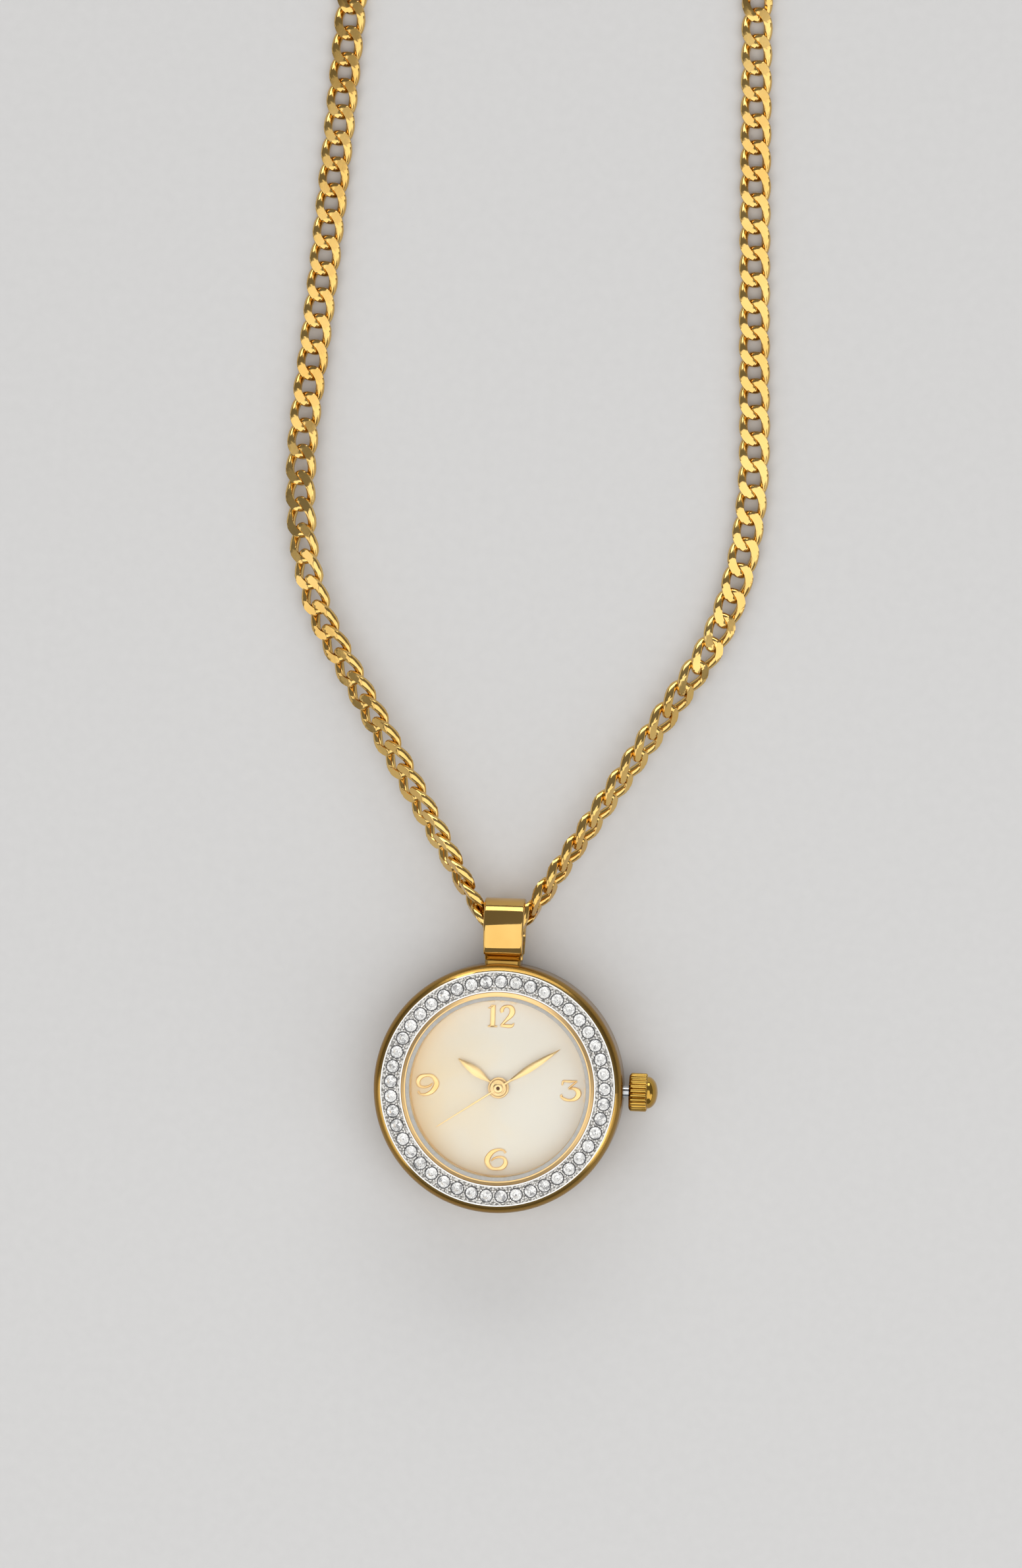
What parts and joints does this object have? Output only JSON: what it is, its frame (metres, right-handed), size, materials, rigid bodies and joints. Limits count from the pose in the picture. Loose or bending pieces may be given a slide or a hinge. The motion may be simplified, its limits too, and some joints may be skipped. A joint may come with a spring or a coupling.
{
  "type": "pendant watch",
  "caption": "Gold-toned pendant watch with a stone-set bezel, mother-of-pearl dial, leaf hands, fluted crown, band bail and a curb neck chain with a lobster clasp.",
  "frame": {"origin": "middle of the case back's flat outer face, on which the watch lies", "axes": "+Z from the case back to the dial, +Y towards 12 o'clock and the bail, +X towards the crown"},
  "size_m": [0.0496, 0.1745, 0.0073],
  "materials": {
    "gold_case": "gold-plated steel, satin side and polished rim",
    "white_metal": "rhodium-plated white metal",
    "clear_stone": "clear cut stones",
    "watch_glass": "clear mineral glass",
    "grey_seal": "grey gasket",
    "rubber_seal": "black rubber",
    "pearl_dial": null,
    "gold_applied": "polished gold-plated figures",
    "gold_hand": "polished gold-plated hands",
    "brass_plate": "plated brass",
    "brass_wheel": "brass wheels",
    "holder_plastic": "white plastic",
    "steel_part": "steel",
    "green_board": "green circuit board",
    "black_chip": "black resin",
    "crystal_can": "bright metal can",
    "soft_iron": "soft iron sheet",
    "copper_wire": null,
    "battery_can": "nickel-plated steel can",
    "gold_crown": "polished gold plating",
    "gold_bail": "polished gold plating",
    "gold_chain": "gold-plated wire with diamond-cut faces"
  },
  "bodies": {
    "watch": {"back_gasket": "rubber_seal", "bail": "gold_bail", "bail_link": "gold_chain", "battery": "battery_can", "battery_clip": "steel_part", "bridge_screws": "steel_part", "case_back": "gold_case", "case_middle": "gold_case", "chain_left": "gold_chain", "chain_right": "gold_chain", "circuit_board": "green_board", "clasp_body": "gold_chain", "clasp_pin": "gold_chain", "clasp_ring": "gold_chain", "coil_core": "soft_iron", "coil_winding": "copper_wire", "crown_tube": "steel_part", "dial": "pearl_dial", "end_ring": "gold_chain", "glass": "watch_glass", "glass_gasket": "grey_seal", "main_plate": "brass_plate", "movement_holder": "holder_plastic", "numeral_12": "gold_applied", "numeral_3": "gold_applied", "numeral_6": "gold_applied", "numeral_9": "gold_applied", "quartz_crystal": "crystal_can", "ring_stones": "clear_stone", "stator": "soft_iron", "stone_ring": "white_metal", "timing_chip": "black_chip", "train_bridge": "brass_plate"},
    "keyless_pinion": {"sliding_pinion": "steel_part"},
    "crown_and_stem": {"crown": "gold_crown", "stem": "steel_part", "crown_gasket": "rubber_seal"},
    "setting_wheel_body": {"setting_wheel": "steel_part"},
    "minute_wheel_body": {"minute_wheel": "brass_wheel"},
    "minute_hand_body": {"cannon_pinion": "steel_part", "minute_hand": "gold_hand"},
    "hour_hand_body": {"hour_wheel": "brass_wheel", "hour_hand": "gold_hand"},
    "second_hand_body": {"second_wheel": "brass_wheel", "second_hand": "gold_hand"},
    "step_wheel_body": {"step_wheel": "brass_wheel"},
    "rotor_body": {"rotor": "steel_part"},
    "third_wheel_body": {"third_wheel": "brass_wheel"},
    "centre_wheel_body": {"centre_wheel": "brass_wheel"},
    "setting_lever_body": {"setting_lever": "steel_part"},
    "clasp_gate_body": {"clasp_gate": "gold_chain"}
  },
  "joints": [
    {"name": "crown_turn", "type": "hinge", "parent": "watch", "child": "keyless_pinion", "pos_m": [0.00571, 0, 0.00305], "axis": [1, 0, 0], "continuous": true},
    {"name": "crown_pull", "type": "slide", "parent": "keyless_pinion", "child": "crown_and_stem", "axis": [1, 0, 0], "range_m": [-0.00055, 0]},
    {"name": "setting_wheel_turn", "type": "hinge", "parent": "watch", "child": "setting_wheel_body", "pos_m": [0.00461, 0, 0.00366], "axis": [0, 0, 1], "continuous": true},
    {"name": "minute_wheel_turn", "type": "hinge", "parent": "watch", "child": "minute_wheel_body", "pos_m": [0.00208, 0.0012, 0.00366], "axis": [0, 0, 1], "continuous": true},
    {"name": "minute_hand_turn", "type": "hinge", "parent": "watch", "child": "minute_hand_body", "pos_m": [0, 0, 0.0052], "axis": [0, 0, 1], "continuous": true},
    {"name": "hour_hand_turn", "type": "hinge", "parent": "watch", "child": "hour_hand_body", "pos_m": [0, 0, 0.00486], "axis": [0, 0, 1], "continuous": true},
    {"name": "second_hand_turn", "type": "hinge", "parent": "watch", "child": "second_hand_body", "pos_m": [0, 0, 0.00552], "axis": [0, 0, 1], "continuous": true},
    {"name": "step_wheel_turn", "type": "hinge", "parent": "watch", "child": "step_wheel_body", "pos_m": [0.00033, -0.00187, 0.002], "axis": [0, 0, 1], "continuous": true},
    {"name": "rotor_turn", "type": "hinge", "parent": "watch", "child": "rotor_body", "pos_m": [0.00163, -0.00296, 0.0025], "axis": [0, 0, 1], "continuous": true},
    {"name": "third_wheel_turn", "type": "hinge", "parent": "watch", "child": "third_wheel_body", "pos_m": [0.00188, 0.00068, 0.002], "axis": [0, 0, 1], "continuous": true},
    {"name": "centre_wheel_turn", "type": "hinge", "parent": "watch", "child": "centre_wheel_body", "pos_m": [0, 0, 0.0035], "axis": [0, 0, 1], "continuous": true},
    {"name": "setting_lever_turn", "type": "hinge", "parent": "watch", "child": "setting_lever_body", "pos_m": [0.0072, 0.0023, 0.0036], "axis": [0, 0, 1], "range_deg": [-13.8, 0.1]},
    {"name": "clasp_gate_turn", "type": "hinge", "parent": "watch", "child": "clasp_gate_body", "pos_m": [-0.0021, 0.14138, 0.00085], "axis": [0, 0, 1], "range_deg": [-22, 0], "stiffness_Nm_per_rad": 0.00002, "springref_deg": 17.19}
  ],
  "couplings": [
    {"joint": "setting_wheel_turn", "follows": "crown_turn", "ratio": -0.6},
    {"joint": "minute_wheel_turn", "follows": "crown_turn", "ratio": 0.33333},
    {"joint": "minute_hand_turn", "follows": "crown_turn", "ratio": -1},
    {"joint": "hour_hand_turn", "follows": "crown_turn", "ratio": -0.083333},
    {"joint": "step_wheel_turn", "follows": "second_hand_turn", "ratio": -6},
    {"joint": "rotor_turn", "follows": "second_hand_turn", "ratio": 30},
    {"joint": "third_wheel_turn", "follows": "second_hand_turn", "ratio": -0.13333},
    {"joint": "centre_wheel_turn", "follows": "second_hand_turn", "ratio": 0.016667},
    {"joint": "setting_lever_turn", "follows": "crown_pull", "rad_per_m": 434.8}
  ]
}
